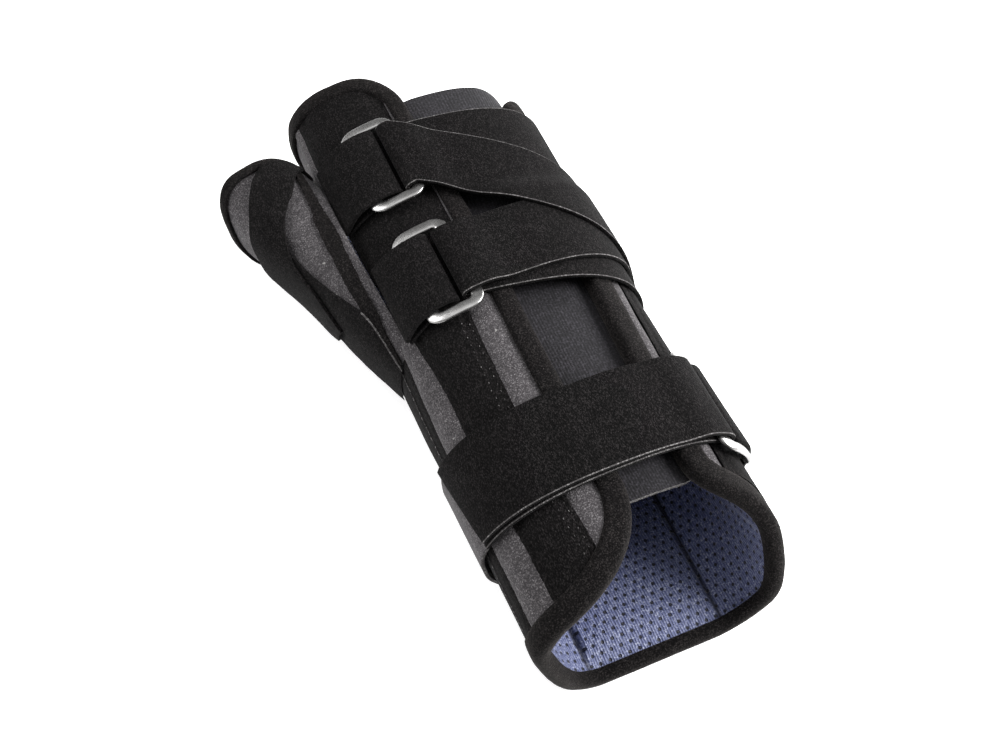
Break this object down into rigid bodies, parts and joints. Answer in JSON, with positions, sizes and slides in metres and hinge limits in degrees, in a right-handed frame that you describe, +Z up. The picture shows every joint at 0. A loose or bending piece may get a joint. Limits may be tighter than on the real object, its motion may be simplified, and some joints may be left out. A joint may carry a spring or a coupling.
{
  "type": "wrist and thumb brace",
  "caption": "Padded right-hand wrist and thumb brace with a perforated lining, straps folded through metal rings and a thumb sleeve, lying palm down.",
  "frame": {"origin": "on the ground under the middle of the brace's box, the brace lying palm down", "axes": "+X towards the little finger, +Y along the arm towards the fingers, +Z up out of the back of the hand"},
  "size_m": [0.136, 0.255, 0.068],
  "materials": {
    "grey_loop_fabric": "brushed loop, matte",
    "black_loop_fabric": "brushed loop, matte",
    "black_tape": "fuzzy binding tape, matte",
    "smooth_charcoal": "smooth knit, matte",
    "blue_mesh": "perforated knit, soft sheen",
    "ring_metal": "satin nickel plating"
  },
  "bodies": {
    "root": {"shell": "grey_loop_fabric", "lining": "blue_mesh", "edge_binding": "black_tape", "tongue": "smooth_charcoal", "stay_pocket": "black_loop_fabric", "thumb_stay_pocket": "black_loop_fabric", "little_stay_pocket": "black_loop_fabric", "hand_ring": "ring_metal", "wrist_ring": "ring_metal", "elbow_ring": "ring_metal", "hand_tab": "black_loop_fabric", "wrist_tab": "black_loop_fabric", "elbow_tab": "black_loop_fabric", "hand_strap": "black_loop_fabric", "wrist_strap": "black_loop_fabric", "elbow_strap": "black_loop_fabric", "thumb_sleeve": "grey_loop_fabric", "thumb_strap": "black_loop_fabric", "thumb_binding": "black_tape", "thumb_seam_tape": "black_tape"}
  },
  "joints": []
}
